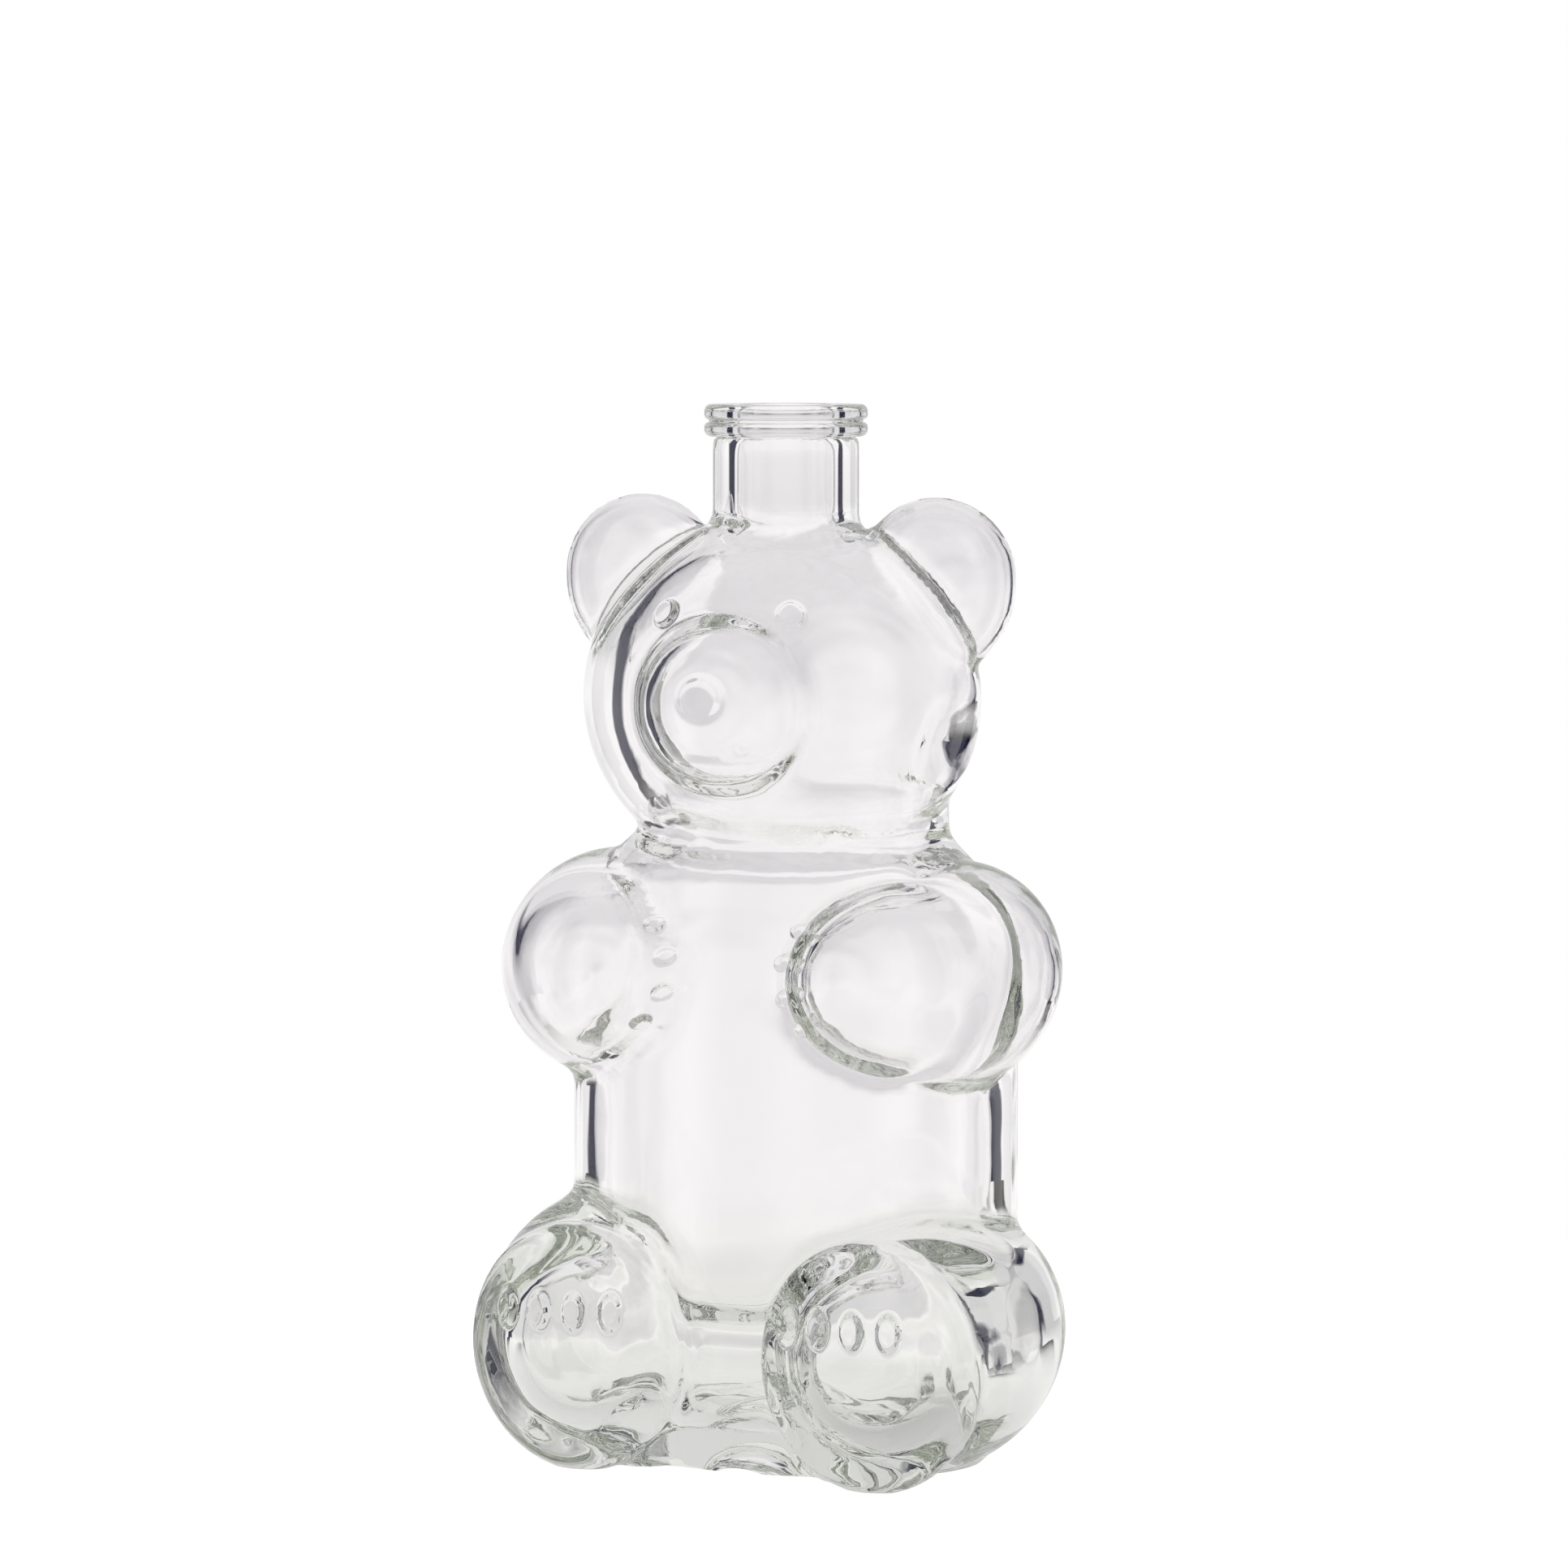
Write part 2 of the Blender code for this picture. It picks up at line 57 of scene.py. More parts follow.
# %% Sizes of the lobes
HEAD_HEIGHT = 137.0
ARM_HEIGHT = 88.8
HEAD = {"centre": (0.0, -2.0, HEAD_HEIGHT), "half": (37.2, 27.0), "rise": 33.3, "drop": 32.5}
MUZZLE = {
    "centre": (0.0, -23.0, HEAD_HEIGHT), "half": (17.2, 12.8), "rise": 15.6, "drop": 15.6,
    "power": 2.4, "disc": True,
}
EAR = {"centre": (28.9, 1.0, 158.7), "half": (15.1, 8.5), "rise": 14.6, "drop": 17.5}
SHOULDERS = {"centre": (0.0, 2.4, 105.0), "half": (34.5, 24.6), "rise": 14.0, "drop": 30.0}
UPPER_ARM = {
    "centre": (32.6, -3.3, ARM_HEIGHT), "half": (21.2, 18.5), "rise": 20.4, "drop": 20.4, "lean": 0.17,
}
FOREARM = {
    "centre": (31.0, -15.3, ARM_HEIGHT), "half": (22.3, 14.0), "rise": 17.6, "drop": 17.6,
    "power": 2.2, "turn": 38.0,
}
LEG = {"centre": (31.3, -5.0, 24.5), "half": (19.9, 30.0), "rise": 23.8, "drop": 23.9, "power": 2.7}
FOOT = {
    "centre": (28.5, -26.2, 21.5), "half": (19.8, 11.5), "rise": 23.0, "drop": 22.3,
    "power": 2.6, "disc": True, "lean": -0.1,
}
WEB = {"centre": (20.0, -12.0, 6.0), "half": (10.0, 15.0), "rise": 8.0, "drop": 8.0}
MIDDLE_LOBES = {"head": HEAD, "muzzle": MUZZLE, "shoulders": SHOULDERS}
SIDE_LOBES = {"ear": EAR, "upper_arm": UPPER_ARM, "forearm": FOREARM, "leg": LEG, "foot": FOOT, "web": WEB}
print("lobes:", ", ".join([*MIDDLE_LOBES, *SIDE_LOBES]))


# %% [markdown]
# ## Helpers for modelling
# An operator acts on what is selected and active, so a helper clears the selection first. Another
# one adds a modifier and applies it at once, as the Apply button does.


# %% Selecting and applying
def deselect_all():
    """Leaves edit mode and clears the selection."""
    if bpy.context.object and bpy.context.object.mode != "OBJECT":
        bpy.ops.object.mode_set(mode="OBJECT")
    bpy.ops.object.select_all(action="DESELECT")


def make_active(thing):
    """Makes one object the only selected and active one."""
    deselect_all()
    thing.select_set(True)
    bpy.context.view_layer.objects.active = thing


def apply_modifier(thing, kind, **settings):
    """Adds a modifier with its settings and applies it at once."""
    make_active(thing)
    modifier = thing.modifiers.new(kind.lower(), kind)
    for name, value in settings.items():
        setattr(modifier, name, value)
    bpy.ops.object.modifier_apply(modifier=modifier.name)


print("selection helpers ready")


# %% [markdown]
# ## Turned forms
# The trunk, the seat, the neck and its bore are turned forms. A profile of (radius, height) points
# becomes a line of edges, and the Spin operator in edit mode sweeps it round the bottle's axis. The
# trunk and the seat are then flattened from front to back.


# %% Spin a profile
MERGE_DISTANCE = 0.01


def arc(centre, radii, start, end, count):
    """Points (radius, height) along an elliptical arc, from one angle to the other in degrees."""
    points = []
    for index in range(count + 1):
        angle = math.radians(start + (end - start) * index / count)
        points.append((centre[0] + radii[0] * math.cos(angle), centre[1] + radii[1] * math.sin(angle)))
    return points


def turned(name, profile, steps=96, depth_share=1.0, setback=0.0):
    """A form spun from a profile of (radius, height) points, then flattened from front to back."""
    deselect_all()
    mesh = bpy.data.meshes.new(name)
    points = [(radius * MM, 0.0, height * MM) for radius, height in profile]
    mesh.from_pydata(points, [(index, index + 1) for index in range(len(points) - 1)], [])
    form = bpy.data.objects.new(name, mesh)
    bpy.context.scene.collection.objects.link(form)
    make_active(form)
    bpy.ops.object.mode_set(mode="EDIT")
    bpy.ops.mesh.select_all(action="SELECT")
    bpy.ops.mesh.spin(steps=steps, angle=math.tau, center=(0.0, 0.0, 0.0), axis=(0.0, 0.0, 1.0))
    bpy.ops.mesh.select_all(action="SELECT")
    bpy.ops.mesh.remove_doubles(threshold=MERGE_DISTANCE * MM)
    bpy.ops.transform.resize(value=(1.0, depth_share, 1.0), center_override=(0.0, 0.0, 0.0))
    bpy.ops.transform.translate(value=(0.0, setback * MM, 0.0))
    bpy.ops.mesh.normals_make_consistent(inside=False)
    bpy.ops.object.mode_set(mode="OBJECT")
    return form


example = arc((10.0, 0.0), (2.0, 2.0), 0.0, 90.0, 4)
print("an arc of four steps:", [(round(radius, 1), round(height, 1)) for radius, height in example])


# %% [markdown]
# ## Lobes from spheres
# Each lobe starts as a sphere primitive. Its points are pushed out by one rule, which also serves
# later to find where a toe or a claw sits on the skin. Metaballs could flow together by themselves,
# but their sizes are hard to foresee, and a bottle has to keep its sizes.


# %% Place a point of a lobe
LOBE_SEGMENTS = 96
LOBE_RINGS = 64


def placed(lobe, unit, side=1.0):
    """The point, in metres, of a lobe's skin that a point of the unit sphere goes to."""
    power = lobe.get("power", 2.0)
    out, forward = lobe["half"]
    if lobe.get("disc"):
        stretch = (math.hypot(unit.x, unit.z) ** power + abs(unit.y) ** power) ** (-1.0 / power)
        lift = stretch
    else:
        flat = math.hypot(unit.x, unit.y) or 1.0
        stretch = (abs(unit.x / flat) ** power + abs(unit.y / flat) ** power + 1e-9) ** (-1.0 / power)
        lift = 1.0
    height = lobe["rise"] if unit.z > 0.0 else lobe["drop"]
    local = Vector((unit.x * stretch * out, unit.y * stretch * forward, unit.z * lift * height))
    local = Matrix.Rotation(math.radians(side * lobe.get("turn", 0.0)), 3, "Z") @ local
    local.y += lobe.get("lean", 0.0) * local.z
    return (Vector((side * lobe["centre"][0], lobe["centre"][1], lobe["centre"][2])) + local) * MM


def add_lobe(name, lobe, side=1.0):
    """A sphere primitive, pulled out to the lobe's sizes."""
    deselect_all()
    bpy.ops.mesh.primitive_uv_sphere_add(segments=LOBE_SEGMENTS, ring_count=LOBE_RINGS, radius=1.0)
    form = bpy.context.object
    form.name = name
    for vert in form.data.vertices:
        vert.co = placed(lobe, vert.co.copy(), side)
    return form


print("top of the head at", round(placed(HEAD, Vector((0.0, 0.0, 1.0))).z / MM, 1), "mm")


# %% [markdown]
# ## One skin from many forms
# Glass lets the eye see every seam inside it, so the forms have to become one skin. They are joined,
# the Remesh modifier wraps them in a fine even grid, and the Smooth modifier rounds the creases, as
# the hot glass rounds itself in the mould. More passes give a softer form. The glass filled some
# creases more than others, such as those round the muzzle and the inner ends of the forearms. A
# second function melts these alone, through a vertex group that fades out towards its edge.


# %% Fuse forms into a skin
TRUNK_SETBACK = 3.6
SEAT_SETBACK = 4.8


def fused(name, forms, grain, passes):
    """Joins overlapping forms, remeshes them into one skin and softens its creases."""
    deselect_all()
    for form in forms:
        form.select_set(True)
    bpy.context.view_layer.objects.active = forms[0]
    bpy.ops.object.join()
    skin = bpy.context.object
    skin.name = name
    apply_modifier(skin, "REMESH", mode="VOXEL", voxel_size=grain * MM)
    apply_modifier(skin, "SMOOTH", factor=0.5, iterations=passes)
    print(name, "has", len(skin.data.polygons), "faces")
    return skin


def melt(skin, centre, reach, passes):
    """Softens a round patch of a skin further, less and less towards its edge."""
    patch = skin.vertex_groups.new(name="patch")
    for vert in skin.data.vertices:
        far = (vert.co / MM - Vector(centre)).length / reach
        if far < 1.0:
            patch.add([vert.index], 1.0 - far * far, "REPLACE")
    apply_modifier(skin, "SMOOTH", vertex_group=patch.name, factor=0.5, iterations=passes)
    skin.vertex_groups.remove(skin.vertex_groups["patch"])


def trunk_and_seat(trunk, trunk_depth, seat, seat_depth):
    """The trunk and the seat under it, each spun from its profile to its own depth."""
    trunk_reach = max(radius for radius, _ in trunk)
    seat_reach = max(radius for radius, _ in seat)
    return [
        turned("trunk", trunk, depth_share=trunk_depth / trunk_reach, setback=TRUNK_SETBACK),
        turned("seat", seat, depth_share=seat_depth / seat_reach, setback=SEAT_SETBACK),
    ]


# %% [markdown]
# ## The outer skin
# The trunk of the real bottle is a flattened barrel, and the seat under it is a broader one that the
# legs grow out of. Both could be lobes as well, but the sides of the trunk are nearly straight, which
# a profile gives better. The neck gets a plain root here, so that the skin flows up into it.

# %% The outer skin
NECK_RADIUS = 13.1
NECK_ROOT_TOP = 184.0
SKIN_GRAIN = 1.3
trunk = [(0.0, HEAD_HEIGHT), (29.0, 120.75), *arc((29.0, 86.0), (12.9, 23.5), 90.0, 0.0, 24)]
trunk += [*arc((37.9, 28.8), (4.0, 4.0), 0.0, -90.0, 8), (0.0, 24.8)]
seat = [(0.0, 32.8), (40.5, 32.8), *arc((30.0, 14.0), (10.5, 16.0), 0.0, -90.0, 16), (0.0, -2.0)]
outer_forms = trunk_and_seat(trunk, trunk_depth=29.6, seat=seat, seat_depth=28.4)
outer_forms += [add_lobe(name, lobe) for name, lobe in MIDDLE_LOBES.items()]
for side in (-1.0, 1.0):
    outer_forms += [add_lobe(name, lobe, side) for name, lobe in SIDE_LOBES.items()]
neck_root = [(0.0, NECK_ROOT_TOP), (NECK_RADIUS, NECK_ROOT_TOP)]
neck_root += [(NECK_RADIUS, HEAD_HEIGHT), (0.0, HEAD_HEIGHT)]
outer_forms.append(turned("neck_root", neck_root))
skin = fused("bear_glass", outer_forms, SKIN_GRAIN, passes=5)
melt(skin, (0.0, -26.0, HEAD_HEIGHT), reach=26.0, passes=24)
melt(skin, (0.0, -24.0, 153.0), reach=14.0, passes=20)
for out in (-13.0, 13.0):
    melt(skin, (out, -28.0, ARM_HEIGHT), reach=15.0, passes=14)

# %% [markdown]
# ## Toes, claws, eyes and nose
# On the real bottle these are low ovals with a rounded rim, raised by small hollows in the mould.
# The grid is too coarse for them, so it is cut finer there, and then the points inside each oval are
# lifted along the way that the skin faces.


# %% Find places on the skin
def front_at(lobe, out, up, side):
    """The point of a lobe's front this far out from the middle plane and up from the floor."""
    power = lobe.get("power", 2.0)
    across = (out - lobe["centre"][0]) / lobe["half"][0]
    height = (up - lobe["centre"][2]) / (lobe["rise"] if up > lobe["centre"][2] else lobe["drop"])
    if lobe.get("disc"):
        depth = (1.0 - math.hypot(across, height) ** power) ** (1.0 / power)
    else:
        depth = ((1.0 - height**2) ** (power / 2.0) - abs(across) ** power) ** (1.0 / power)
    lean = lobe.get("lean", 0.0) * (up - lobe["centre"][2])
    return Vector((side * out, lobe["centre"][1] - depth * lobe["half"][1] + lean, up)) * MM


def along_lobe(lobe, side, around, lift):
    """The point of a lobe's skin at an angle round its inner end and a lift above its middle, in degrees."""
    around, lift = math.radians(around), math.radians(lift)
    level = math.cos(lift)
    unit = Vector((-side * level * math.cos(around), -level * math.sin(around), math.sin(lift)))
    return placed(lobe, unit, side)


def nearest_on(thing, point):
    """The nearest point of a skin, and the way it faces there."""
    _, place, normal, _ = thing.closest_point_on_mesh(point)
    return place, normal


TOE_COUNT = 4
TOE_SPACING = 6.6
TOE_MIDDLE_OUT = 27.0
TOE_HEIGHT = 29.8
CLAW_ANGLES = ((-14.0, 30.0), (-16.0, 11.0), (-12.0, -9.0), (0.0, -28.0))
EYE_OUT = 12.1
EYE_HEIGHT = 152.8
NOSE_HEIGHT = 138.6
toes, claws, eyes = [], [], []
for side in (-1.0, 1.0):
    steps = [index - (TOE_COUNT - 1) / 2 for index in range(TOE_COUNT)]
    toes += [front_at(FOOT, TOE_MIDDLE_OUT + step * TOE_SPACING, TOE_HEIGHT, side) for step in steps]
    claws += [along_lobe(FOREARM, side, around, lift) for around, lift in CLAW_ANGLES]
    eyes.append(front_at(HEAD, EYE_OUT, EYE_HEIGHT, side))
toes, claws, eyes = ([nearest_on(skin, spot)[0] for spot in spots] for spots in (toes, claws, eyes))
nose = nearest_on(skin, front_at(MUZZLE, 0.0, NOSE_HEIGHT, 1.0))[0]
print(len(toes), "toes,", len(claws), "claws,", len(eyes), "eyes")
print("nose at", [round(value / MM, 1) for value in nose])


# %% [markdown]
# ## Raising an oval
# A toe could be a small form of its own, but its seam would show through the glass. Lifting the skin
# keeps it one surface. The share of the oval's radius that slopes sets how crisp its rim looks, and
# the top of the nose leads a little.


# %% Raise the ovals
OVAL_DEPTH = 3.0
LEAST_FACING = 0.2


def refine(thing, spots, reach, cuts):
    """Cuts the faces round each spot finer, and rounds the new ones off."""
    make_active(thing)
    bpy.ops.object.mode_set(mode="EDIT")
    bpy.ops.mesh.select_all(action="DESELECT")
    grid = bmesh.from_edit_mesh(thing.data)
    grid.select_mode = {"FACE"}
    for face in grid.faces:
        centre = face.calc_center_median()
        face.select_set(any((centre - spot).length < reach * MM for spot in spots))
    grid.select_flush_mode()
    bmesh.update_edit_mesh(thing.data)
    bpy.ops.mesh.subdivide(number_cuts=cuts, smoothness=0.0)
    bpy.ops.mesh.vertices_smooth(factor=0.5, repeat=6)
    bpy.ops.object.mode_set(mode="OBJECT")


def raise_oval(thing, spot, half_across, half_up, height, lean=0.0, rim=0.45, tip=0.0):
    """Lifts an oval of the skin. Rim is the share of its radius that slopes, tip how much its top leads."""
    place, normal = nearest_on(thing, spot)
    sideways = Vector((0.0, 0.0, 1.0)).cross(normal).normalized()
    upward = normal.cross(sideways)
    turn = Matrix.Rotation(math.radians(lean), 3, normal)
    sideways, upward = turn @ sideways, turn @ upward
    moved = 0
    for vert in thing.data.vertices:
        offset = vert.co - place
        if abs(offset.dot(normal)) > OVAL_DEPTH * MM or vert.normal.dot(normal) < LEAST_FACING:
            continue
        rise = offset.dot(upward) / (half_up * MM)
        far = math.hypot(offset.dot(sideways) / (half_across * MM), rise)
        if far < 1.0:
            share = min(1.0, (1.0 - far) / rim)
            vert.co += normal * (height * MM * (1.0 + tip * rise) * share * share * (3.0 - 2.0 * share))
            moved += 1
    return moved


TOE = {"half_across": 2.4, "half_up": 4.1, "height": 1.5}
CLAW = {"half_across": 2.4, "half_up": 1.6, "height": 0.9, "lean": 20.0}
EYE = {"half_across": 2.9, "half_up": 3.1, "height": 1.1, "rim": 0.38}
NOSE = {"half_across": 5.2, "half_up": 4.6, "height": 1.3, "rim": 0.5, "tip": 0.4}
EYE_LEAN = 12.0
refine(skin, [nose], reach=9.0, cuts=2)
refine(skin, toes, reach=5.2, cuts=2)
refine(skin, [*claws, *eyes], reach=4.2, cuts=3)
print("points lifted for the toes:", sum(raise_oval(skin, spot, **TOE) for spot in toes))
print("points lifted for the claws:", sum(raise_oval(skin, spot, **CLAW) for spot in claws))
lifted = [raise_oval(skin, spot, **EYE, lean=math.copysign(EYE_LEAN, spot.x)) for spot in eyes]
print("points lifted for the eyes:", sum(lifted))
print("points lifted for the nose:", raise_oval(skin, nose, **NOSE))

# %% [markdown]
# ## The hollow
# Blown glass has no even wall. It is thin at the chest and the arms and gathers to 6 or 7 mm in the
# legs and the floor, and dark lines show in the photograph where the inner surface turns away from
# the eye. So the hollow isn't an offset of the skin: it has lobes of its own and a softer form. The
# glass also gathered low in the cheek on the bear's left, where the photograph has a dark patch, so a
# broad oval of the hollow is pushed in there. The Displace modifier adds a gentle waviness.

# %% Lobes of the hollow
HEAD_HOLLOW = {"centre": (2.0, -1.0, 137.6), "half": (32.8, 22.8), "rise": 29.0, "drop": 28.8}
MUZZLE_HOLLOW = {
    "centre": (0.0, -22.0, HEAD_HEIGHT), "half": (15.2, 11.6), "rise": 13.8, "drop": 13.8,
    "power": 2.4, "disc": True,
}
EAR_HOLLOW = {"centre": (28.9, 1.0, 158.7), "half": (14.4, 7.6), "rise": 13.9, "drop": 16.5}
SHOULDERS_HOLLOW = {"centre": (0.0, 2.4, 104.0), "half": (31.0, 21.2), "rise": 9.0, "drop": 26.0}
UPPER_ARM_HOLLOW = {
    "centre": (32.6, -3.3, ARM_HEIGHT), "half": (19.7, 16.6), "rise": 18.7, "drop": 18.7, "lean": 0.17,
}
FOREARM_HOLLOW = {
    "centre": (31.0, -15.0, ARM_HEIGHT), "half": (18.7, 10.4), "rise": 14.0, "drop": 14.0,
    "power": 2.2, "turn": 38.0,
}
LEG_HOLLOW = {
    "centre": (28.4, -7.0, 23.0), "half": (15.4, 24.6), "rise": 16.0, "drop": 16.0,
    "power": 3.2, "disc": True,
}
MIDDLE_HOLLOWS = {"head": HEAD_HOLLOW, "muzzle": MUZZLE_HOLLOW, "shoulders": SHOULDERS_HOLLOW}
SIDE_HOLLOWS = {
    "ear": EAR_HOLLOW, "upper_arm": UPPER_ARM_HOLLOW, "forearm": FOREARM_HOLLOW, "leg": LEG_HOLLOW,
}
print("hollow lobes:", ", ".join([*MIDDLE_HOLLOWS, *SIDE_HOLLOWS]))


# %% [markdown]
# ## The hollow's skin
# No mould touched the inside of the glass, so its creases are rounder. It is fused like the outer
# skin, but with more passes of smoothing. The Solidify modifier could make the wall in one step, but
# its wall would be even, and the dark lines would fall elsewhere.

# %% The hollow's skin
BORE_RADIUS = 8.75
BORE_ROOT_TOP = 178.0
HOLLOW_GRAIN = 1.4
CHEEK = (34.0, -1.0, 130.0)
WAVE_LENGTH = 22.0
WAVE_HEIGHT = 0.5
trunk = [(0.0, HEAD_HEIGHT), (25.0, 120.0), (25.5, 113.0), *arc((24.5, 86.0), (12.8, 22.0), 90.0, 0.0, 24)]
trunk += [*arc((31.3, 34.0), (6.0, 6.0), 0.0, -90.0, 8), (0.0, 28.0)]
seat = [(0.0, 40.0), (34.0, 40.0), *arc((24.0, 18.0), (10.0, 11.0), 0.0, -90.0, 16), (16.0, 8.5), (0.0, 14.5)]
hollow_forms = trunk_and_seat(trunk, trunk_depth=25.2, seat=seat, seat_depth=22.4)
hollow_forms += [add_lobe(name, lobe) for name, lobe in MIDDLE_HOLLOWS.items()]
for side in (-1.0, 1.0):
    hollow_forms += [add_lobe(name, lobe, side) for name, lobe in SIDE_HOLLOWS.items()]
bore_root = [(0.0, BORE_ROOT_TOP), (BORE_RADIUS, BORE_ROOT_TOP)]
bore_root += [(BORE_RADIUS, HEAD_HEIGHT), (0.0, HEAD_HEIGHT)]
hollow_forms.append(turned("bore_root", bore_root))
hollow = fused("hollow", hollow_forms, HOLLOW_GRAIN, passes=12)
melt(hollow, (0.0, -24.0, HEAD_HEIGHT), reach=26.0, passes=24)
melt(hollow, (-26.0, -18.0, ARM_HEIGHT), reach=24.0, passes=30)
thick_place = raise_oval(hollow, Vector(CHEEK) * MM, half_across=15.0, half_up=9.0, height=-1.5, rim=1.0)
print("points of the thick place at the cheek:", thick_place)
waves = bpy.data.textures.new("waves", "CLOUDS")
waves.noise_scale = WAVE_LENGTH * MM
apply_modifier(
    hollow, "DISPLACE", texture=waves, strength=WAVE_HEIGHT * MM, mid_level=0.5, texture_coords="LOCAL",
)

# %% [markdown]
# ## Neck and finish
# The finish is the thick ring at the mouth, with two beads for a cork closure. It was pressed and
# not blown, so its edges are crisper than the rest. It is turned from a profile of its own and waits
# until the smoothing is done, which would blunt it. The bore through it is a turned form too.

# %% Turned finish and bore
MOUTH_HEIGHT = 189.5
MOUTH_EDGE = 0.9
BEAD_RADIUS = 14.6
UPPER_BEAD = 3.0
LOWER_BEAD = 2.8
TOP_ROUND = 1.3
GROOVE_ROUND = 1.0
GROOVE_DEPTH = 0.8
UNDER_ROUND = 1.2
LIP_SINK = 3.0
LIP_INSET = 0.8
OVERRUN = 4.0
BORE_END = 170.0
FINE_STEPS = 128
groove = MOUTH_HEIGHT - UPPER_BEAD
under = groove - LOWER_BEAD
inset = NECK_RADIUS - LIP_INSET
lip = [(0.0, MOUTH_HEIGHT)]
lip += arc((BEAD_RADIUS - TOP_ROUND, MOUTH_HEIGHT - TOP_ROUND), (TOP_ROUND, TOP_ROUND), 90.0, 0.0, 8)
lip += arc((BEAD_RADIUS - GROOVE_ROUND, groove + GROOVE_ROUND), (GROOVE_ROUND, GROOVE_DEPTH), 0.0, -80.0, 6)
lip += arc((BEAD_RADIUS - GROOVE_ROUND, groove - GROOVE_ROUND), (GROOVE_ROUND, GROOVE_DEPTH), 80.0, 0.0, 6)
lip += arc((BEAD_RADIUS - UNDER_ROUND, under + UNDER_ROUND), (UNDER_ROUND, UNDER_ROUND), 0.0, -90.0, 8)
lip += [(inset, under), (inset, under - LIP_SINK), (0.0, under - LIP_SINK)]
lip_ring = turned("lip", lip, steps=FINE_STEPS)
mouth = BORE_RADIUS + MOUTH_EDGE
bore = [(0.0, MOUTH_HEIGHT + OVERRUN), (mouth, MOUTH_HEIGHT + OVERRUN)]
bore += arc((mouth, MOUTH_HEIGHT - MOUTH_EDGE), (MOUTH_EDGE, MOUTH_EDGE), 90.0, 180.0, 8)
bore += [(BORE_RADIUS, BORE_END), (0.0, BORE_END)]
bore_form = turned("bore", bore, steps=FINE_STEPS)
print("finish", 2 * BEAD_RADIUS, "mm across, bore", 2 * BORE_RADIUS, "mm")

# %% [markdown]
# ## Join and cut
# A block cuts the base flat, and a flattened ball cuts the shallow push-up under it, as glass bases
# have so that they stand on their rim. The hollow and the bore are cut out last, which leaves one
# closed glass body that is open only at the mouth. The EXACT solver of the Boolean modifier takes the
# longest, but it keeps both surfaces clean.

# %% Join and cut
BLOCK = 400
PUSH_UP = {"centre": (0.0, -5.0, -1.0), "half": (11.0, 16.0), "rise": 7.0, "drop": 7.0}
SHARP_ANGLE = math.radians(40.0)
deselect_all()
bpy.ops.mesh.primitive_cube_add(size=BLOCK * MM, location=(0.0, 0.0, -BLOCK / 2 * MM))
ground = bpy.context.object
ground.name = "ground_block"
punt = add_lobe("punt", PUSH_UP)
cuts = [(other, "DIFFERENCE") for other in (ground, punt, hollow, bore_form)]
for other, operation in [(lip_ring, "UNION"), *cuts]:
    apply_modifier(skin, "BOOLEAN", object=other, operation=operation, solver="EXACT")
    print(other.name, "->", len(skin.data.polygons), "faces")
    bpy.data.objects.remove(other, do_unlink=True)
bear_glass = skin
make_active(bear_glass)
bpy.ops.object.shade_smooth_by_angle(angle=SHARP_ANGLE)
bear_glass.data.calc_loop_triangles()
print("bear_glass has", len(bear_glass.data.loop_triangles), "triangles")


# %% [markdown]
# ## Shader maths as plain expressions
# A node tree gets hard to read once it holds sums. This small class wraps the output of a node, so
# that adding or multiplying two of them adds a Math node. Its one method for any other node takes
# the node's type, its settings and the values or links of its sockets.


# %% A wrapped socket
class Signal:
    """The output of a node. Arithmetic on it adds Math nodes to its tree."""

    def __init__(self, tree, source=None, output=0):
        self.tree = tree
        self.source = source
        self.output = output

    def node(self, kind, settings=None, values=None, output=0):
        """Adds a node of this kind, sets it up, then gives its sockets their values or links."""
        added = self.tree.nodes.new(kind)
        for name, value in (settings or {}).items():
            if name == "stops":
                for _ in range(len(value) - 2):
                    added.color_ramp.elements.new(0.5)
                for element, (position, grey) in zip(added.color_ramp.elements, value):
                    element.position = position
                    element.color = (grey, grey, grey, 1.0)
            else:
                setattr(added, name, value)
        for key, value in (values or {}).items():
            if isinstance(value, Signal):
                self.tree.links.new(value.source.outputs[value.output], added.inputs[key])
            else:
                added.inputs[key].default_value = value
        return Signal(self.tree, added, output)

    def out(self, output):
        """Another output of the same node."""
        return Signal(self.tree, self.source, output)

    def maths(self, operation, first, second=0.0):
        """A Math node of this operation on two signals or numbers."""
        return self.node("ShaderNodeMath", {"operation": operation}, {0: first, 1: second})

    def __add__(self, other):
        return self.maths("ADD", self, other)

    def __sub__(self, other):
        return self.maths("SUBTRACT", self, other)

    def __rsub__(self, other):
        return self.maths("SUBTRACT", other, self)

    def __mul__(self, other):
        return self.maths("MULTIPLY", self, other)

    def __truediv__(self, other):
        return self.maths("DIVIDE", self, other)

    def ramp(self, low, high, at_low=0.0, at_high=1.0):
        """A soft step of this signal, from one value at low to another at high."""
        values = {0: self, 1: low, 2: high, 3: at_low, 4: at_high}
        return self.node("ShaderNodeMapRange", {"interpolation_type": "SMOOTHSTEP"}, values)

    def blend(self, first, second):
        """A colour between two, with this signal as the share of the second."""
        return self.node("ShaderNodeMix", {"data_type": "RGBA"}, {0: self, 6: first, 7: second}, output=2)


print("Signal ready")

# %% [markdown]
# ## Clear glass
# Clear bottle glass isn't colourless. A trace of iron turns its thick parts grey-green, while the
# thin head and neck look faintly lavender, so the tint follows the height. The surface has long soft
# ripples from the mould, which bend what is seen through it, and are stronger lower down. A Volume
# Absorption node deepens the green with the length of the way through the glass, as iron does. All
# patterns read the Object coordinates, so they stay on the glass.

